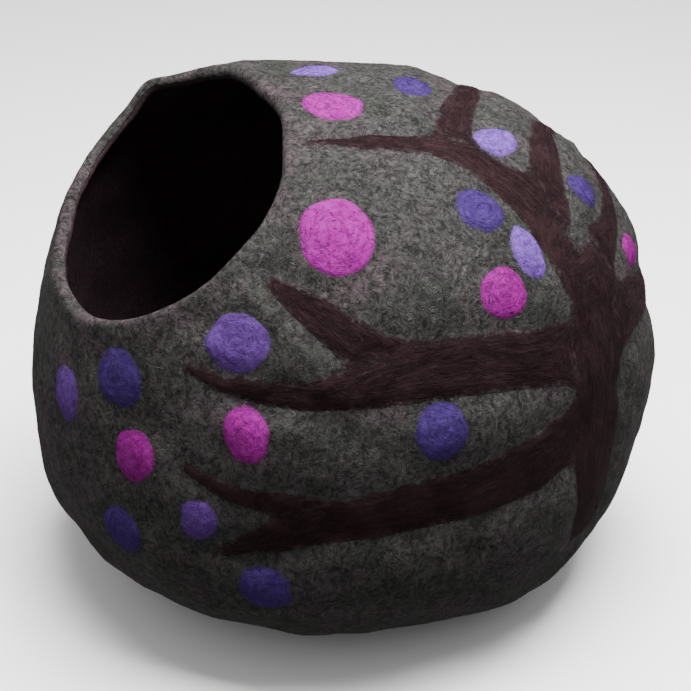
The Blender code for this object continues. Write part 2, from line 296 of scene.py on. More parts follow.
def grey_wool(recipe, colours):
    """Colour and relief of the heathered grey wool, the same on every piece that shows it."""
    place = recipe.place()
    loose = recipe.wander(place, 60, 0.012)
    heather = recipe.grain(loose, 300, 5, 0.74)
    patches = recipe.grain(loose, 105, 3, 0.6)
    shade = recipe.ease(heather * 0.72 + patches * 0.28, 0.38, 0.62)
    base = recipe.mix(shade, colours.charcoal, colours.grey)
    rosy = recipe.value("rosy")
    warm = recipe.ease(recipe.grain(loose, 15, 4, 0.6) + rosy * 0.07, 0.46, 0.68)
    base = recipe.mix(warm * 0.95, base, recipe.mix(shade, colours.charcoal, colours.mauve))
    cool = recipe.ease(recipe.grain(recipe.moved(place, (3.1, 1.7, 0.4)), 21, 3, 0.6), 0.5, 0.64)
    base = recipe.mix(cool * 0.7, base, recipe.mix(shade, colours.charcoal, colours.moss))
    here = recipe.ease(recipe.grain(recipe.moved(place, (1.3, 5.2, 2.2)), 120, 2, 0.5), 0.44, 0.6)
    combed = recipe.add("ShaderNodeMapping", {}, {"Vector": loose, "Rotation": COMB_TURN,
                                                  "Scale": COMB_STRETCH})
    streaks = recipe.ease(recipe.grain(combed, 260, 3, 0.6), 0.52, 0.70)
    tufts = recipe.grain(recipe.moved(place, (6.1, 2.2, 8.3)), 26)
    streaks = streaks * recipe.ease(tufts, 0.5, 0.6)
    base = recipe.mix(streaks * 0.35, base, colours.silver)
    light = recipe.thread(loose, 150, 0.030) * here
    finer = recipe.thread(recipe.moved(loose, (0.7, 0.2, 0.9)), 330, 0.045)
    base = recipe.mix(light * 0.28, base, colours.silver)
    base = recipe.mix(finer * 0.20, base, colours.silver)
    dark = recipe.thread(recipe.moved(loose, (2.4, 1.1, 4.9)), 120, 0.035)
    base = recipe.mix(dark * 0.35, base, colours.charcoal)
    relief = heather * 0.5 + patches * 0.6 + light * 0.25 + finer * 0.15 - dark * 0.2
    return base, relief


def ball_material(colours):
    """Grey outside, aubergine inside."""
    recipe = Recipe("grey_wool")
    base, relief = grey_wool(recipe, colours)
    inside = recipe.value("inside")
    fray = recipe.grain(recipe.place(), 300, 3, 0.7)
    inside = recipe.ease(inside + (fray - 0.5) * 0.7, 0.42, 0.62)
    inner = recipe.mix(recipe.ease(fray, 0.4, 0.7) * 0.5, colours.aubergine, colours.mauve)
    base = recipe.mix(inside, base, inner)
    return recipe.finish(base, relief, 1.8 * MM, 0.9)


def tree_material(colours):
    """Dark wool with reddish hairs along the limbs, frayed into the grey at its edges."""
    recipe = Recipe("bark_wool")
    grey, grey_relief = grey_wool(recipe, colours)
    place = recipe.place()
    inset = recipe.value("inset")
    loose = recipe.wander(place, 90, 0.006)
    along = recipe.grain(recipe.stretched(loose, 0.14), 620, 4, 0.65, depth=inset)
    coarse = recipe.grain(recipe.stretched(place, 0.2), 210, 2, 0.5, depth=inset)
    hairs = recipe.ease(along, 0.47, 0.70)
    wool = recipe.mix(hairs * 0.75, colours.bark, colours.bark_light)
    wool = recipe.mix(recipe.ease(coarse, 0.52, 0.7) * 0.35, wool, colours.bark_light)
    flecks = recipe.thread(loose, 190, 0.028)
    wool = recipe.mix(flecks * 0.10, wool, colours.mauve)
    ruddy = recipe.ease(recipe.grain(recipe.moved(place, (4.2, 0.9, 7.7)), 26, 3, 0.6), 0.5, 0.66)
    wool = recipe.mix(ruddy * 0.45, wool, colours.bark_light)
    fray = recipe.grain(loose, 330, 4, 0.75)
    lobes = recipe.grain(place, 110, 2, 0.5)
    edge = inset + (fray - 0.5) * (15 * MM) + (lobes - 0.5) * (9 * MM)
    mask = recipe.ease(edge, -2.8 * MM, 3.2 * MM)
    base = recipe.mix(mask, grey, wool)
    relief = grey_relief * 0.45 + along * 0.75 + coarse * 0.3
    return recipe.finish(base, relief, 1.7 * MM, 0.9)


def dot_material(name, wool_colour, colours):
    """Needle-felted wool: swirling hairs, small dimples with painted shade in them, and a frayed
    edge.
    """
    recipe = Recipe(name)
    grey, grey_relief = grey_wool(recipe, colours)
    place = recipe.place()
    inset = recipe.value("inset")
    loose = recipe.wander(place, 110, 0.008)
    swirl = recipe.grain(recipe.stretched(loose, 0.35), 420, 4, 0.7, depth=inset)
    tone = recipe.grain(place, 70, 2, 0.5)
    pits = recipe.ease(recipe.grain(loose, 330, 2, 0.5), 0.40, 0.30)
    pale, deep = tinted(wool_colour, 1.4, 0.02), tinted(wool_colour, 0.6)
    wool = recipe.mix(recipe.ease(swirl, 0.34, 0.56), deep, wool_colour)
    wool = recipe.mix(recipe.ease(swirl, 0.58, 0.78) * 0.35, wool, pale)
    wool = recipe.mix(recipe.ease(tone, 0.45, 0.7) * 0.2, wool, pale)
    # painted shade: the dimples are darkened to a third of the dot's colour
    wool = recipe.mix(pits * 0.6, wool, tinted(wool_colour, 0.3))
    veil = recipe.thread(recipe.moved(loose, (5.5, 3.3, 1.9)), 210, 0.05)
    wool = recipe.mix(veil * 0.22, wool, colours.grey)
    rim = recipe.ease(inset, 3.6 * MM, 0.0)
    wool = recipe.mix(rim * 0.45, wool, deep)
    fray = recipe.grain(loose, 420, 4, 0.75)
    edge = inset + (fray - 0.5) * (13 * MM)
    mask = recipe.ease(edge, -3.0 * MM, 2.8 * MM)
    base = recipe.mix(mask, grey, wool)
    relief = grey_relief * 0.3 + swirl * 0.9 - pits * 0.35
    return recipe.finish(base, relief, 1.6 * MM, 0.75)


def hair_material(name):
    """Loose hairs, each in its own colour."""
    recipe = Recipe(name)
    own = recipe.add("ShaderNodeAttribute", {"attribute_name": "hair_colour"}, out="Color")
    recipe.feed(recipe.shader.inputs["Base Color"], own)
    recipe.dull(0.85, 0.04)
    return recipe.material


# ---------------------------------------------------------------- meshes

def add_object(name, data):
    """A new object in the scene."""
    made = bpy.data.objects.new(name, data)
    bpy.context.scene.collection.objects.link(made)
    return made


def choose(*pieces):
    """Select these pieces only, the first of them active."""
    bpy.ops.object.select_all(action="DESELECT")
    for piece in pieces:
        piece.select_set(True)
    bpy.context.view_layer.objects.active = pieces[0]


@contextmanager
def editing(piece):
    """Edit mode, with all of one piece selected."""
    choose(piece)
    bpy.ops.object.mode_set(mode="EDIT")
    bpy.ops.mesh.select_all(action="SELECT")
    yield
    bpy.ops.object.mode_set(mode="OBJECT")


def places(mesh):
    """The vertices of a mesh, one row each."""
    found = np.empty(len(mesh.vertices) * 3, np.float32)
    mesh.vertices.foreach_get("co", found)
    return found.reshape(-1, 3).astype(float)


def normals(mesh):
    """The vertex normals of a mesh, one row each."""
    found = np.empty(len(mesh.vertices) * 3, np.float32)
    mesh.vertex_normals.foreach_get("vector", found)
    return found.reshape(-1, 3).astype(float)


def settle(mesh, points):
    """Move the vertices of a mesh to these places."""
    mesh.vertices.foreach_set("co", points.astype(np.float32).ravel())
    mesh.update()


def keep(mesh, name, values):
    """Hold one value for each vertex."""
    layer = mesh.attributes.new(name, "FLOAT", "POINT")
    layer.data.foreach_set("value", values.astype(np.float32))


def held(mesh, name):
    """The values that a mesh holds."""
    found = np.empty(len(mesh.vertices), np.float32)
    mesh.attributes[name].data.foreach_get("value", found)
    return found.astype(float)


def unit(rows):
    """The same rows at length one."""
    return rows / np.maximum(np.linalg.norm(rows, axis=-1, keepdims=True), 1e-9)


def heading_of(points):
    """Directions from the heart of the ball."""
    return unit(points - HEART)


def direction(azimuth, elevation):
    """Direction from the heart: azimuth 0 is the mouth's side, 90 is +X."""
    a, e = math.radians(azimuth), math.radians(elevation)
    return np.array([math.sin(a) * math.cos(e), -math.cos(a) * math.cos(e), math.sin(e)])


def ramp(values, low, high):
    """0 at low, 1 at high, with a soft rise between."""
    share = np.clip((values - low) / (high - low), 0.0, 1.0)
    return share * share * (3 - 2 * share)


def rough_noise(points, size, seed):
    """Noise from -1 to 1, one value for each row, with features of this size."""
    shift = Vector((seed * 7.3, seed * 3.1, seed * 5.7))
    return np.array([noise.noise(Vector(point) / size + shift) for point in points])


def merged_copy(node, name):
    """A new piece from a CAD node, merged and in quads."""
    piece = add_object(name, frame["nodes"][node].data.copy())
    piece.data.materials.clear()
    with editing(piece):
        bpy.ops.mesh.remove_doubles(threshold=0.05 * MM)
        bpy.ops.mesh.tris_convert_to_quads(face_threshold=math.radians(50),
                                           shape_threshold=math.radians(60))
    return piece


def apply(piece, kind, **settings):
    """Add a modifier, set it and apply it."""
    choose(piece)
    modifier = piece.modifiers.new(kind.title(), kind)
    for key, value in settings.items():
        setattr(modifier, key, value)
    bpy.ops.object.modifier_apply(modifier=modifier.name)


def smooth(piece):
    """Shade the whole piece smooth."""
    choose(piece)
    bpy.ops.object.shade_smooth()


def delete_faces(piece, doomed):
    """Delete the faces marked True."""
    with editing(piece):
        bpy.ops.mesh.select_all(action="DESELECT")
    piece.data.polygons.foreach_set("select", doomed)
    bpy.ops.object.mode_set(mode="EDIT")
    bpy.ops.mesh.delete(type="FACE")
    bpy.ops.object.mode_set(mode="OBJECT")


def face_most(mesh, values):
    """For each face, the most of its vertices' values."""
    corners = np.empty(len(mesh.loops), np.int32)
    mesh.loops.foreach_get("vertex_index", corners)
    starts = np.empty(len(mesh.polygons), np.int32)
    mesh.polygons.foreach_get("loop_start", starts)
    return np.maximum.reduceat(values[corners], starts)


# ---------------------------------------------------------------- where the wool lies

class Oval:
    """The smooth, slightly uneven oval that a dot's CAD piece stands for."""

    UNEVEN = 1.7 * MM      # how far its edge strays
    LOBE = 0.45            # how quickly that changes on the way round
    FULL = 1.015           # the facets of the CAD piece lie this much inside the oval

    def __init__(self, outline, seed):
        self.middle = outline.middle
        self.seed = seed
        east = unit(np.cross([0.0, 0.0, 1.0], self.middle))
        self.across = np.stack([east, np.cross(self.middle, east)])
        flat = outline.rim @ self.across.T
        self.centre = flat.mean(axis=0)
        spread, turn = np.linalg.eigh(np.cov((flat - self.centre).T))
        self.turn = turn
        self.half = np.sqrt(2 * spread) * self.FULL

    def inset(self, points, far):
        """How far inside the oval each place is, less than 0 outside."""
        away = np.linalg.norm(points - HEART, axis=1)
        heading = heading_of(points)
        flat = (heading @ self.across.T - self.centre) @ self.turn
        shape = np.linalg.norm(flat / self.half, axis=1)
        size = np.linalg.norm(flat, axis=1) / np.maximum(shape, 1e-6)
        found = (1 - shape) * size * away
        close = (heading @ self.middle > 0.5) & (abs(found) < far)
        around = unit(flat[close]) * self.LOBE
        lobes = rough_noise(np.hstack([around, np.full((len(around), 1), self.seed)]), 0.3, 5)
        found[close] += self.UNEVEN * lobes
        found[heading @ self.middle <= 0.5] = -far
        return np.maximum(found, -far)


class Outline:
    """The outline of one CAD piece on the ball, as seen from the heart."""

    STEP = 0.8 * MM       # between points along the outline
    STEEP = 0.55          # a face this far from facing the heart belongs to the thin edge

    def __init__(self, node):
        mesh = frame["nodes"][node].data
        points = places(mesh)
        faces = [tuple(face.vertices) for face in mesh.polygons]
        self.solid = BVHTree.FromPolygons([tuple(p) for p in points], faces)
        rim = []
        for face in mesh.polygons:
            outward = heading_of(np.array(face.center))
            if abs(float(np.dot(outward, face.normal))) > self.STEEP:
                continue
            corners = points[list(face.vertices)]
            for one, other in zip(corners, np.roll(corners, 1, axis=0)):
                count = 2 + int(np.linalg.norm(one - other) / self.STEP)
                rim.append(one + (other - one) * np.linspace(0, 1, count)[:, None])
        self.rim = heading_of(np.vstack(rim))
        self.near = KDTree(len(self.rim))
        for k, point in enumerate(self.rim):
            self.near.insert(Vector(point), k)
        self.near.balance()
        self.middle = unit(self.rim.mean(axis=0))
        self.spread = np.linalg.norm(self.rim - self.middle, axis=1).max()

    def inset(self, points, far):
        """How far inside the outline each place is, less than 0 outside, never under -far."""
        found = np.full(len(points), -far)
        away = np.linalg.norm(points - HEART, axis=1)
        heading = heading_of(points)
        close = np.linalg.norm(heading - self.middle, axis=1) < self.spread + far / away
        heart = Vector(HEART)
        for k in np.flatnonzero(close):
            way = Vector(heading[k])
            gap = self.near.find(way)[2] * away[k]
            inside = self.solid.ray_cast(heart, way)[0] is not None
            found[k] = gap if inside else max(-gap, -far)
        return found

    def direction_along(self, points):
        """For each place, the direction away from the nearest point of the outline."""
        heading = heading_of(points)
        nearest = np.array([self.near.find(Vector(way))[1] for way in heading])
        return heading - self.rim[nearest]


FAR = 12 * MM             # past this, how far outside a place is doesn't matter
OUTLINES = {node: Outline(node) for node in LIMB_NODES + DOT_NODES}
OVALS = {node: Oval(OUTLINES[node], k) for k, node in enumerate(DOT_NODES)}
TREE_BLEND = 5 * MM       # how softly limbs flow together
KNOTS = (
    # azimuth, elevation, radius mm: wool that fills the crotch between trunk and boughs
    (118.2, 44, 8),
    (118.8, 41.8, 9.5),
    (119.6, 39.4, 8),
)


def tree_inset(points):
    """How far inside the tree each place is. Limbs flow together where they meet."""
    found = [OUTLINES[node].inset(points, FAR) for node in LIMB_NODES]
    away = np.linalg.norm(points - HEART, axis=1)
    for azimuth, elevation, radius in KNOTS:
        gap = np.linalg.norm(heading_of(points) - direction(azimuth, elevation), axis=1) * away
        found.append(np.maximum(radius * MM - gap, -FAR))
    found = np.array(found)
    most = found.max(axis=0)
    weight = np.where(found > -FAR, np.exp((found - most) / TREE_BLEND), 0.0)
    return most + TREE_BLEND * np.log(np.maximum(weight.sum(axis=0), 1.0))


# ---------------------------------------------------------------- the ball

BALL_RADIUS = 0.21        # roughly, to turn directions into lengths
CREASES = (
    # from azimuth, elevation, to azimuth, elevation, half-width mm, depth mm (under 0 rises)
    (35, 23, 49, 24, 9, 2.2),
    (49, 24, 63, 25, 9, 1.8),
    (38, -3, 50, -3, 10, 2.0),
    (50, -3, 62, 3, 10, 2.4),
    (62, 3, 85, 4, 10, 1.6),
    (48, 40, 60, 30, 8, -1.8),
    (126, 14, 133, 7, 6, 2.2),
    (-2, 19, 4, 8, 9, 1.2),
    (8, -9, 20, -14, 10, 1.4),
    (70, -14, 92, -12, 12, 1.2),
    (-70, 20, -52, 30, 10, 1.6),
    (-110, 6, -92, 14, 11, 1.8),
    (-160, 30, -140, 40, 10, 1.4),
    (165, -4, 178, 6, 10, 1.5),
    (-60, 51, -54, 54, 12, -5.0),
    (24, 16, 40, 18, 20, 3.0),
    (62, 22, 76, 14, 6, 2.2),
    (66, 8, 74, -4, 7, -2.0),
    (80, 6, 88, -6, 8, 1.8),
    (52, 8, 64, -8, 6, 1.6),
    (54, 30, 66, 25, 6, -1.8),
)


def creases(heading):
    """Depth of the felt's troughs in each direction, in metres."""
    depth = np.zeros(len(heading))
    for from_az, from_el, to_az, to_el, half, deep in CREASES:
        start, end = direction(from_az, from_el), direction(to_az, to_el)
        run = end - start
        share = np.clip(((heading - start) @ run) / (run @ run), 0.0, 1.0)
        away = np.linalg.norm(heading - start - share[:, None] * run, axis=1)
        width = half * MM / BALL_RADIUS
        depth += deep * MM * np.exp(-(away / width) ** 2)
    return depth


def uneven(heading, shape):
    """Height of the felt's own lumps and puckers in each direction, in metres."""
    ball = heading * BALL_RADIUS
    lumps = rough_noise(ball, 0.040, 1) + 0.5 * rough_noise(ball, 0.022, 2)
    puckers = rough_noise(ball, 0.013, 3) + 0.7 * rough_noise(ball, 0.0085, 4)
    return shape.unevenness * lumps + shape.puckering * puckers - creases(heading)


FULL_FROM = 90 * MM       # above this the ball is let out in full
LIP_TURN = 0.25           # faces of the lip turn this little towards or from the heart
STILL_BELOW = 12 * MM     # below this the felt is flatter, down to the flat base
LIP_REACH = 9 * MM        # the lip swells this far from its edge
ROSY_REACH = 55 * MM      # mauve wool shows this far from the lip
VALLEY_REACH = 10 * MM    # the ball sinks this far from the tree
GROOVE_REACH = 3.5 * MM   # and this far from a dot


def distance_to(points, marks):
    """For each place, how far the nearest mark is."""
    near = KDTree(len(marks))
    for k, mark in enumerate(marks):
        near.insert(Vector(mark), k)
    near.balance()
    return np.array([near.find(Vector(point))[2] for point in points])


def dots_inset(points):
    """How far inside or outside the nearest dot each place is."""
    found = np.full(len(points), -FAR)
    for node in DOT_NODES:
        found = np.maximum(found, OVALS[node].inset(points, FAR))
    return found


def make_ball(shape, colours):
    """The felt ball, smoothed from its CAD solid and given its relief."""
    ball = merged_copy(BODY_NODE, "ball_felt")
    apply(ball, "SUBSURF", levels=2, render_levels=2, boundary_smooth="ALL")
    mesh = ball.data
    points = places(mesh)
    heading = heading_of(points)
    inward = -(normals(mesh) * heading).sum(axis=1)
    inside = ramp(inward, -0.15, 0.75)
    from_lip = distance_to(points, points[abs(inward) < LIP_TURN])
    outside = inside < 0.5
    height = uneven(heading, shape)
    height += shape.fullness * ramp(points[:, 2], 0.0, FULL_FROM)
    height[outside] -= shape.valley * np.exp(-(np.minimum(tree_inset(points[outside]), 0.0)
                                               / VALLEY_REACH) ** 2)
    height[outside] -= shape.groove * np.exp(-(dots_inset(points[outside])
                                               / GROOVE_REACH) ** 2)
    still = ramp(points[:, 2], 0.0, STILL_BELOW)
    swell = shape.lip * np.exp(-(from_lip / LIP_REACH) ** 2)
    settle(mesh, points + heading * (height * still)[:, None] + normals(mesh) * swell[:, None])
    keep(mesh, "inside", inside)
    keep(mesh, "rosy", ramp(from_lip, ROSY_REACH, 0.0))
    smooth(ball)
    mesh.materials.append(ball_material(colours))
    return ball


# ---------------------------------------------------------------- patches of coloured wool

PATCH_MARGIN = 4.5 * MM     # a patch runs on this far past its outline, under the grey
PATCH_SUNK = 0.9 * MM       # its edge lies this far under the ball's face
PATCH_THICK = 2.2 * MM
ROPE_WIDTH = 7 * MM


def patch(ball, name, measure, near, cuts):
    """A finer copy of the ball's outer faces around one outline, before it gets its height."""
    piece = add_object(name, ball.data.copy())
    mesh = piece.data
    mesh.materials.clear()
    points = places(mesh)
    wanted = (held(mesh, "inside") < 0.05) & near(points)
    inset = np.full(len(points), -FAR)
    inset[wanted] = measure(points[wanted])
    delete_faces(piece, face_most(mesh, inset) < -PATCH_MARGIN - 1.0 * MM)
    with editing(piece):
        bpy.ops.mesh.subdivide(number_cuts=cuts, smoothness=0.0)
    inset = measure(places(mesh))
    delete_faces(piece, face_most(mesh, inset) < -PATCH_MARGIN)
    with editing(piece):
        bpy.ops.mesh.delete_loose()
    return piece


def raise_patch(piece, measure, height, shoulder, relief):
    """Lift a patch off the ball inside its outline, sink its edge, and close it below."""
    mesh = piece.data
    points = places(mesh)
    inset = measure(points)
    rise = height * (1 - np.exp(-np.maximum(inset, 0.0) / shoulder))
    sunk = PATCH_SUNK * ramp(-inset, -1.2 * MM, PATCH_MARGIN)
    lift = rise - sunk + relief(points, inset) * ramp(inset, 0.0, 3 * MM)
    settle(mesh, points + normals(mesh) * lift[:, None])
    keep(mesh, "inset", inset)
    apply(piece, "SOLIDIFY", thickness=PATCH_THICK, offset=-1.0)
    smooth(piece)


def make_tree(ball, shape, colours):
    """The tree as one patch of dark wool with ropes of fibre along its limbs."""
    middle = unit(np.vstack([OUTLINES[node].rim for node in LIMB_NODES]).mean(axis=0))

    def near(points):
        return heading_of(points) @ middle > -0.6

    def ropes(points, inset):
        across = inset / ROPE_WIDTH
        grain = [noise.noise(Vector((p[0] * 24 + p[1] * 9, p[2] * 24 - p[1] * 21, a)))
                 for p, a in zip(points, across)]
        return shape.tree_ropes * (np.array(grain) + 0.5 * rough_noise(points, 0.006, 6))

    piece = patch(ball, "tree_felt", tree_inset, near, 2)
    raise_patch(piece, tree_inset, shape.tree_height, shape.tree_shoulder, ropes)
    piece.data.materials.append(tree_material(colours))
    return piece


def make_dot(ball, node, shape, material):
    """One needle-felted dot, domed and dimpled."""
    outline = OUTLINES[node]

    def measure(points):
        return OVALS[node].inset(points, 3 * FAR)

    def near(points):
        away = np.linalg.norm(heading_of(points) - outline.middle, axis=1)
        return away < outline.spread + 0.08

    def dimples(points, _):
        small = rough_noise(points, 0.0042, 8)
        return shape.dot_dimples * (small + 0.8 * rough_noise(points, 0.009, 9))

    piece = patch(ball, node + "_felt", measure, near, 3)
    raise_patch(piece, measure, shape.dot_height, shape.dot_shoulder, dimples)
    piece.data.materials.append(material)
    return piece


# ---------------------------------------------------------------- loose hairs

HAIR_SIDES = 3
HAIR_RINGS = ((-0.18, 1.0), (0.2, 0.85))     # place along a hair, share of its thickness
HAIR_SINK = 0.12 * MM     # the ends of a hair lie this far under the wool
BARE_BELOW = 5 * MM       # no hair grows this near the floor


class Surface:
    """The top faces of a piece, from which places for hairs are drawn."""

    def __init__(self, piece, chance):
        mesh = piece.data
        mesh.calc_loop_triangles()
        corners = np.empty(len(mesh.loop_triangles) * 3, np.int32)
        mesh.loop_triangles.foreach_get("vertices", corners)
        self.corners = corners.reshape(-1, 3)
        self.points = places(mesh)
        self.normals = normals(mesh)
        one, two, three = (self.points[self.corners[:, k]] for k in range(3))
        cross = np.cross(two - one, three - one)
        area = np.linalg.norm(cross, axis=1) / 2
        outward = (unit(cross) * heading_of((one + two + three) / 3)).sum(axis=1)
        likely = chance(mesh)[self.corners].mean(axis=1)
        self.weight = area * (outward > 0.2) * likely

    def draw(self, count, dice):
        """Places and normals at random, as many as asked for."""
        total = self.weight.cumsum()
        chosen = np.searchsorted(total, dice.random(count) * total[-1])
        a, b = dice.random(count), dice.random(count)
        flip = a + b > 1
        a[flip], b[flip] = 1 - a[flip], 1 - b[flip]
        shares = np.stack([1 - a - b, a, b], axis=1)[:, :, None]
        rows = self.corners[chosen]
        return ((self.points[rows] * shares).sum(axis=1),
                unit((self.normals[rows] * shares).sum(axis=1)))


def hairs(name, roots, up, along, length, thick, lift, curl, colours):
    """One mesh of many thin curved hairs, each closed and pointed at both ends."""
    count = len(roots)
    along = unit(along - up * (along * up).sum(axis=1, keepdims=True))
    side = np.cross(up, along)

    def at(share):
        """Middle of each hair at a share from -0.5 to 0.5 along it."""
        sweep = curl * (share ** 2 - 0.12)
        rise = lift * (1 - (2 * share) ** 2) - HAIR_SINK
        return (roots + along * (share * length)[:, None] + side * (sweep * length)[:, None]
                + up * rise[:, None])

    rings = [at(-0.5 * np.ones(count))[:, None]]
    for share, size in HAIR_RINGS:
        middle = at(share * np.ones(count))
        ring = []
        for k in range(HAIR_SIDES):
            turn = 2 * math.pi * k / HAIR_SIDES + math.pi / 6
            push = side * math.cos(turn) + up * math.sin(turn) * 0.7
            ring.append(middle + push * (thick * size / 2)[:, None])
        rings.append(np.stack(ring, axis=1))
    rings.append(at(0.5 * np.ones(count))[:, None])
    points = np.concatenate(rings, axis=1)
    per = points.shape[1]
    first, second, last = 1, 1 + HAIR_SIDES, per - 1
    pattern = []
    places_on_map = []
    for k in range(HAIR_SIDES):
        after = (k + 1) % HAIR_SIDES
        pattern.append((0, first + after, first + k))
        pattern.append((first + k, first + after, second + after))
        pattern.append((first + k, second + after, second + k))
        pattern.append((second + k, second + after, last))
        low, high = k / HAIR_SIDES, (k + 1) / HAIR_SIDES
        places_on_map += [((low + high) / 2, 0.0), (high, 0.33), (low, 0.33)]
        places_on_map += [(low, 0.33), (high, 0.33), (high, 0.67)]
        places_on_map += [(low, 0.33), (high, 0.67), (low, 0.67)]
        places_on_map += [(low, 0.67), (high, 0.67), ((low + high) / 2, 1.0)]
    faces = (np.arange(count)[:, None, None] * per + np.array(pattern)[None]).reshape(-1, 3)
    mesh = bpy.data.meshes.new(name)
    mesh.from_pydata(points.reshape(-1, 3).tolist(), [], faces.tolist())
    cells = math.ceil(math.sqrt(count))
    corner = np.array(places_on_map) * 0.8 + 0.1
    cell = np.stack([np.arange(count) % cells, np.arange(count) // cells], axis=1)
    layout = (cell[:, None] + corner[None]) / cells
    mesh.uv_layers.new(name="OFBake").data.foreach_set("uv", layout.astype(np.float32).ravel())
    tint = mesh.attributes.new("hair_colour", "FLOAT_COLOR", "POINT")
    rows = np.repeat(np.hstack([colours, np.ones((count, 1))]), per, axis=0)
    tint.data.foreach_set("color", rows.astype(np.float32).ravel())
    piece = add_object(name, mesh)
    smooth(piece)
    return piece


def palette(dice, count, shades):
    """A colour for each hair, from rows of share and colour, each a little lighter or darker."""
    shares = np.array([share for share, _ in shades])
    chosen = dice.choice(len(shades), count, p=shares / shares.sum())
    rows = np.array([tuple(shade) for _, shade in shades])[chosen]
    return np.clip(rows * dice.uniform(0.8, 1.2, (count, 1)), 0.0, 1.0)


def hair_sizes(dice, count, fibres, longer=1.0):
    """Length, thickness, lift and curl of each hair."""
    length = fibres.length * longer * dice.lognormal(0.0, 0.35, count)
    thick = fibres.thickness * dice.uniform(0.6, 1.5, count)
    lift = dice.uniform(0.15, 0.5, count) * MM
    curl = dice.normal(0.0, 0.35, count)
    return length, thick, lift, curl


def ball_hairs(ball, fibres, colours):
    """Light, dark and mauve hairs in all directions on the grey wool."""
    dice = np.random.default_rng(11)
    count = fibres.grey_count
    surface = Surface(ball, lambda mesh: (1.0 - held(mesh, "inside"))
                      * ramp(places(mesh)[:, 2], BARE_BELOW, 2 * BARE_BELOW))
    roots, up = surface.draw(count, dice)
    along = dice.normal(0.0, 1.0, (count, 3))
    tints = palette(dice, count, ((2, colours.silver), (6, colours.grey), (4, colours.charcoal),
                                  (2, colours.mauve), (1, colours.moss)))
    length, thick, lift, curl = hair_sizes(dice, count, fibres)
    piece = hairs("ball_hairs", roots, up, along, length, thick, lift, curl, tints)
    piece.data.materials.append(hair_material("grey_hairs"))
    return piece


def tree_hairs(tree, fibres, colours):
    """Reddish and dark hairs that run along the limbs and fray out at their edges."""
    dice = np.random.default_rng(12)
    count = fibres.tree_count
    surface = Surface(tree, lambda mesh: ramp(held(mesh, "inset"), -2.5 * MM, 1.0 * MM))
    roots, up = surface.draw(count, dice)
    nearest = np.array([OUTLINES[node].inset(roots, FAR) for node in LIMB_NODES]).argmax(axis=0)
    away = np.zeros_like(roots)
    for k, node in enumerate(LIMB_NODES):
        mine = nearest == k
        away[mine] = OUTLINES[node].direction_along(roots[mine])
    along = unit(np.cross(up, away)) + dice.normal(0.0, 0.32, (count, 3))
    tints = palette(dice, count, ((4, colours.bark_light), (5, colours.bark)))
    length, thick, lift, curl = hair_sizes(dice, count, fibres, 1.25)
    piece = hairs("tree_hairs", roots, up, along, length, thick, lift, curl * 0.6, tints)
    piece.data.materials.append(hair_material("bark_hairs"))
    return piece


def dot_hairs(dots, slot, fibres, wool_colour):
    """Hairs that swirl round the dots of one colour and fray out at their edges."""
    dice = np.random.default_rng(20 + len(slot))
    rows = []
    for dot, node in dots:
        count = fibres.dot_count
        surface = Surface(dot, lambda mesh: ramp(held(mesh, "inset"), -2.2 * MM, 0.5 * MM))
        roots, up = surface.draw(count, dice)
        away = OUTLINES[node].direction_along(roots)
        along = unit(np.cross(up, away)) + dice.normal(0.0, 0.8, (count, 3))
        rows.append((roots, up, along))
    roots, up, along = (np.vstack(part) for part in zip(*rows))
    count = len(roots)
    pale, deep = tinted(wool_colour, 1.25, 0.01), tinted(wool_colour, 0.6)
    tints = palette(dice, count, ((2, pale), (5, tuple(wool_colour)), (2, deep)))
    length, thick, lift, curl = hair_sizes(dice, count, fibres, 0.8)
    name = slot.replace("_wool", "_hairs")
    piece = hairs(name, roots, up, along, length, thick, lift, curl, tints)
    piece.data.materials.append(hair_material(name))
    return piece


# ---------------------------------------------------------------- operators

MADE = {}


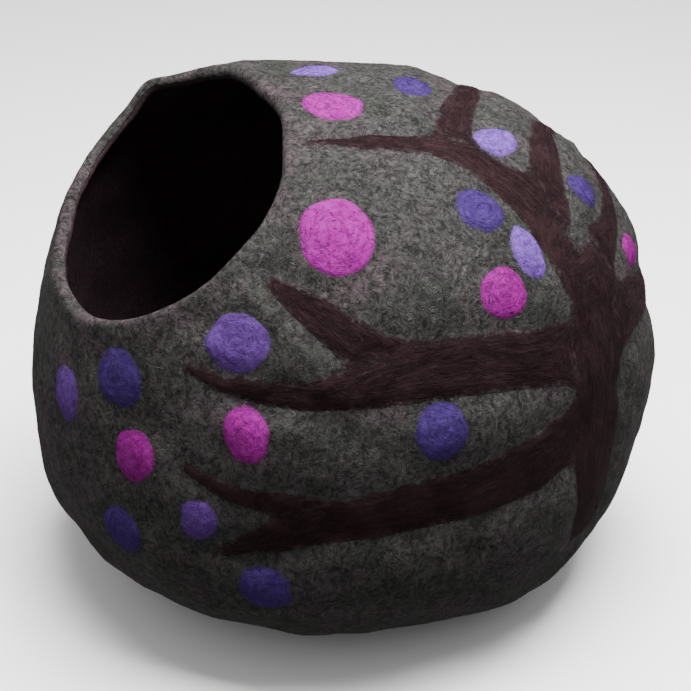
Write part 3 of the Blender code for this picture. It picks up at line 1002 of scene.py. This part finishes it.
class CAVE_OT_stage(bpy.types.Operator):
    """Set up the floor, the soft light and the camera"""
    bl_idname = "cave.stage"
    bl_label = "Stage"

    AIM = Vector((0.0, 0.0, 0.142))
    SKY = ((0.0, 0.42), (0.04, 0.50), (1.0, 1.0))     # from level up to overhead, how pale

    def execute(self, context):
        stage = context.scene.cave_stage
        bpy.ops.object.select_all(action="DESELECT")
        bpy.ops.mesh.primitive_circle_add(vertices=96, radius=9.0, fill_type="NGON")
        floor = context.active_object
        floor.name = "floor"
        recipe = Recipe("floor")
        shade = recipe.grain(recipe.place(), 3, 2, 0.5)
        pale = tuple(stage.floor)
        recipe.feed(recipe.shader.inputs["Base Color"],
                    recipe.mix(shade, pale, tinted(pale, 0.97)))
        recipe.dull(0.9, 0.1)
        floor.data.materials.append(recipe.material)
        floor.visible_diffuse = False     # the floor throws no light up at the cave
        floor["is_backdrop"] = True
        self.add_light("key", (0.15, 0.14, 1.65), 1.2, stage.key_power)
        self.add_light("fill", (0.9, -1.5, 1.0), 1.2, stage.fill_power)
        context.scene.world = self.room(stage.sky)
        self.add_camera(context, stage)
        return {"FINISHED"}

    def room(self, strength):
        """Pale surroundings, dimmer underfoot than overhead."""
        world = bpy.data.worlds.new("pale_room")
        world.use_nodes = True
        nodes, links = world.node_tree.nodes, world.node_tree.links
        way = nodes.new("ShaderNodeTexCoord")
        split = nodes.new("ShaderNodeSeparateXYZ")
        levels = nodes.new("ShaderNodeValToRGB")
        links.new(way.outputs["Generated"], split.inputs["Vector"])
        links.new(split.outputs["Z"], levels.inputs["Fac"])
        links.new(levels.outputs["Color"], nodes["Background"].inputs["Color"])
        stops = levels.color_ramp.elements
        stops.new(0.5)
        for stop, (place, grey) in zip(stops, self.SKY):
            stop.position = place
            stop.color = (grey, grey, grey, 1.0)
        nodes["Background"].inputs["Strength"].default_value = strength
        return world

    def add_light(self, name, place, size, power):
        """A soft square light that faces the cave."""
        light = bpy.data.lights.new(name, "AREA")
        light.size = size
        light.energy = power
        lamp = add_object(name, light)
        lamp.location = place
        lamp.rotation_euler = (self.AIM - lamp.location).to_track_quat("-Z", "Y").to_euler()

    def add_camera(self, context, stage):
        """The camera, to the right of the mouth and above it."""
        a, e = stage.azimuth, stage.elevation
        back = Vector((math.sin(a) * math.cos(e), -math.cos(a) * math.cos(e), math.sin(e)))
        camera = bpy.data.cameras.new("camera")
        camera.lens = stage.lens
        camera.clip_start = 0.05
        rig = add_object("camera", camera)
        rig.location = self.AIM + back * stage.distance
        camera.shift_x, camera.shift_y = stage.shift
        rig.rotation_euler = (-back).to_track_quat("-Z", "Y").to_euler()
        context.scene.camera = rig


class CAVE_OT_ball(bpy.types.Operator):
    """Make the felt ball with its mouth"""
    bl_idname = "cave.ball"
    bl_label = "Ball"

    def execute(self, context):
        scene = context.scene
        ball = make_ball(scene.cave_shape, scene.cave_colours)
        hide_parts(BODY_NODE)
        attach(ball, "root")
        MADE["ball"] = ball
        return {"FINISHED"}


class CAVE_OT_tree(bpy.types.Operator):
    """Felt the tree on to the ball"""
    bl_idname = "cave.tree"
    bl_label = "Tree"

    def execute(self, context):
        scene = context.scene
        tree = make_tree(MADE["ball"], scene.cave_shape, scene.cave_colours)
        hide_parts(*LIMB_NODES)
        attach(tree, "root")
        MADE["tree"] = tree
        return {"FINISHED"}


class CAVE_OT_dots(bpy.types.Operator):
    """Felt the dots on to the ball"""
    bl_idname = "cave.dots"
    bl_label = "Dots"

    def execute(self, context):
        scene = context.scene
        colours = scene.cave_colours
        materials = {}
        MADE["dots"] = {}
        for node in DOT_NODES:
            slot = SLOTS[node]
            if slot not in materials:
                wool_colour = tuple(getattr(colours, slot.replace("_wool", "")))
                materials[slot] = dot_material(slot, wool_colour, colours)
            dot = make_dot(MADE["ball"], node, scene.cave_shape, materials[slot])
            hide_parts(node)
            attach(dot, "root")
            MADE["dots"][node] = dot
        return {"FINISHED"}


class CAVE_OT_hairs(bpy.types.Operator):
    """Lay loose hairs on the ball, the tree and the dots"""
    bl_idname = "cave.hairs"
    bl_label = "Loose hairs"

    def execute(self, context):
        scene = context.scene
        fibres, colours = scene.cave_fibres, scene.cave_colours
        made = [(ball_hairs(MADE["ball"], fibres, colours), "grey_wool"),
                (tree_hairs(MADE["tree"], fibres, colours), "bark_wool")]
        for slot in sorted({SLOTS[node] for node in DOT_NODES}):
            dots = [(MADE["dots"][node], node) for node in DOT_NODES if SLOTS[node] == slot]
            wool_colour = tuple(getattr(colours, slot.replace("_wool", "")))
            made.append((dot_hairs(dots, slot, fibres, wool_colour), slot))
        for piece, slot in made:
            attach(piece, "root")
        MADE["hairs"] = [piece for piece, _ in made]
        return {"FINISHED"}


class CAVE_OT_cloth(bpy.types.Operator):
    """Gather the tree, the dots and the hairs"""
    bl_idname = "cave.cloth"
    bl_label = "Sheet of felt"

    GIRTH = 1.36          # round the widest part
    REACH = 0.55          # over the ball, from the rim to the far side
    FLAT_AREA = 0.51

    def execute(self, context):
        with_it = [MADE["tree"], *MADE["dots"].values(), *MADE["hairs"]]
        return {"FINISHED"}


class CAVE_PT_sidebar(bpy.types.Panel):
    """Buttons for each step"""
    bl_label = "Felt cat cave"
    bl_idname = "CAVE_PT_sidebar"
    bl_space_type = "VIEW_3D"
    bl_region_type = "UI"
    bl_category = "Cave"

    def draw(self, context):
        for step in STEPS:
            self.layout.operator(step.bl_idname)


STEPS = (CAVE_OT_stage, CAVE_OT_ball, CAVE_OT_tree, CAVE_OT_dots, CAVE_OT_hairs, CAVE_OT_cloth)
GROUPS = {"cave_shape": CaveShape, "cave_colours": CaveColours,
          "cave_fibres": CaveFibres, "cave_stage": CaveStage}


def register():
    """Make the values and the buttons known."""
    for kind in (*GROUPS.values(), *STEPS, CAVE_PT_sidebar):
        bpy.utils.register_class(kind)
    for name, kind in GROUPS.items():
        setattr(bpy.types.Scene, name, PointerProperty(type=kind))


def unregister():
    """Take them away again."""
    for name in GROUPS:
        delattr(bpy.types.Scene, name)
    for kind in reversed((*GROUPS.values(), *STEPS, CAVE_PT_sidebar)):
        bpy.utils.unregister_class(kind)


def main():
    """Felt the cave, and find how large it came out."""
    register()
    bpy.ops.cave.stage()
    bpy.ops.cave.ball()
    bpy.ops.cave.tree()
    bpy.ops.cave.dots()
    bpy.ops.cave.hairs()
    bpy.ops.cave.cloth()
    boxes = {"cad": CAD_BOX, "visual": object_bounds()}
    ({name: [list(map(float, corner)) for corner in box]
               for name, box in boxes.items()})


if __name__ == "__main__":
    main()
